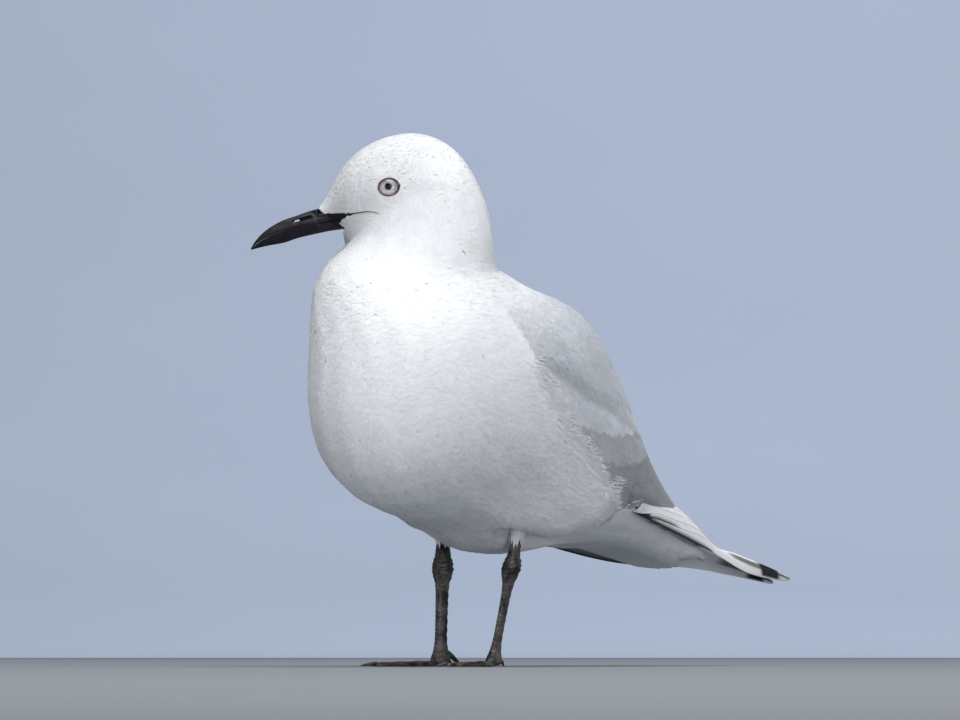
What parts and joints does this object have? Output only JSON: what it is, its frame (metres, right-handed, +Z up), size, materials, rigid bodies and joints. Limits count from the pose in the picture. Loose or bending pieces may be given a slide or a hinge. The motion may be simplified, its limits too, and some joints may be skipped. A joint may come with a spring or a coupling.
{
  "type": "black-billed gull",
  "caption": "Standing adult black-billed gull with folded wings and its head turned to the right, as a still life-size animal model.",
  "frame": {"origin": "middle of the outer box of the bird, on the floor that it stands on", "axes": "+Z up, -Y the way the bird's body faces, +X its left side"},
  "size_m": [0.1062, 0.3374, 0.2274],
  "materials": {
    "white_feathers": "soft white plumage",
    "grey_feathers": "smooth pale silver-grey plumage",
    "flight_feathers": "white flight feathers with black edges and ends",
    "bill": "glossy black horn",
    "eye": "wet and clear over a whitish iris",
    "leg_skin": "scaly black with a dark red tinge",
    "claw": "satin black horn"
  },
  "bodies": {
    "root": {"head": "white_feathers", "neck": "white_feathers", "trunk": "white_feathers", "tail": "white_feathers", "bill_upper": "bill", "bill_lower": "bill", "eye_left": "eye", "wing_left": "grey_feathers", "primaries_left": "flight_feathers", "thigh_left": "white_feathers", "shank_left": "leg_skin", "tarsus_left": "leg_skin", "foot_left": "leg_skin", "claw_inner_left": "claw", "claw_middle_left": "claw", "claw_outer_left": "claw", "eye_right": "eye", "wing_right": "grey_feathers", "primaries_right": "flight_feathers", "thigh_right": "white_feathers", "shank_right": "leg_skin", "tarsus_right": "leg_skin", "foot_right": "leg_skin", "claw_inner_right": "claw", "claw_middle_right": "claw", "claw_outer_right": "claw"}
  },
  "joints": []
}
